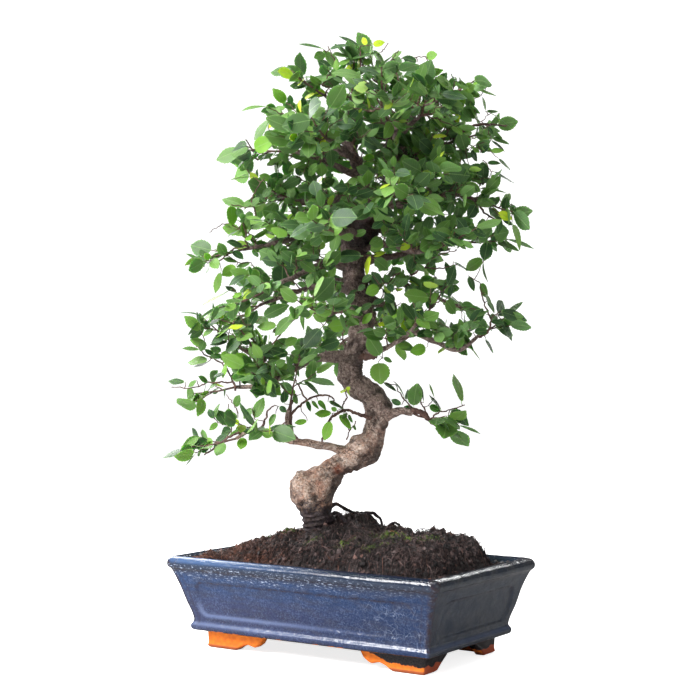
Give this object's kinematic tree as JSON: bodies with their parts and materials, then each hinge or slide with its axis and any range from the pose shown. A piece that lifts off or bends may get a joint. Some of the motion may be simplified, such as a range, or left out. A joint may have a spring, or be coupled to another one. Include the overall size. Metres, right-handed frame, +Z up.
{
  "type": "bonsai tree",
  "caption": "Small-leaved elm bonsai with an S-curved trunk and leafy sprays, standing in mounded soil in a flared rectangular glazed pot on bracket feet.",
  "frame": {"origin": "middle of the pot's footprint, on the surface that its feet stand on", "axes": "+Z up the tree, +X along the pot's long side, +Y to the pot's back"},
  "size_m": [0.2819, 0.2781, 0.5357],
  "materials": {
    "glaze": "gloss",
    "mesh_plastic": "matte",
    "soil": "matte",
    "bark": "matte",
    "leaf": "satin"
  },
  "bodies": {
    "root": {"pot": "glaze", "drain_screen_left": "mesh_plastic", "drain_screen_right": "mesh_plastic", "soil": "soil", "trunk": "bark", "spray_01": "leaf", "spray_02": "leaf", "spray_03": "leaf", "spray_04": "leaf", "spray_05": "leaf", "spray_06": "leaf", "spray_07": "leaf", "spray_08": "leaf", "spray_09": "leaf", "spray_10": "leaf", "spray_11": "leaf", "spray_12": "leaf", "spray_13": "leaf", "spray_14": "leaf", "spray_15": "leaf", "spray_16": "leaf", "spray_17": "leaf", "spray_18": "leaf", "spray_19": "leaf", "spray_20": "leaf", "spray_21": "leaf", "spray_22": "leaf", "spray_23": "leaf", "spray_24": "leaf", "spray_25": "leaf", "spray_26": "leaf", "spray_27": "leaf", "spray_28": "leaf", "spray_29": "leaf", "spray_30": "leaf", "spray_31": "leaf", "spray_32": "leaf", "spray_33": "leaf", "spray_34": "leaf", "spray_35": "leaf", "spray_36": "leaf", "spray_37": "leaf", "spray_38": "leaf", "spray_39": "leaf", "spray_40": "leaf", "spray_41": "leaf", "spray_42": "leaf", "spray_43": "leaf", "spray_44": "leaf", "spray_45": "leaf", "spray_46": "leaf", "spray_47": "leaf", "spray_48": "leaf", "spray_49": "leaf", "spray_50": "leaf", "spray_51": "leaf", "spray_52": "leaf", "spray_53": "leaf", "spray_54": "leaf"}
  },
  "joints": []
}
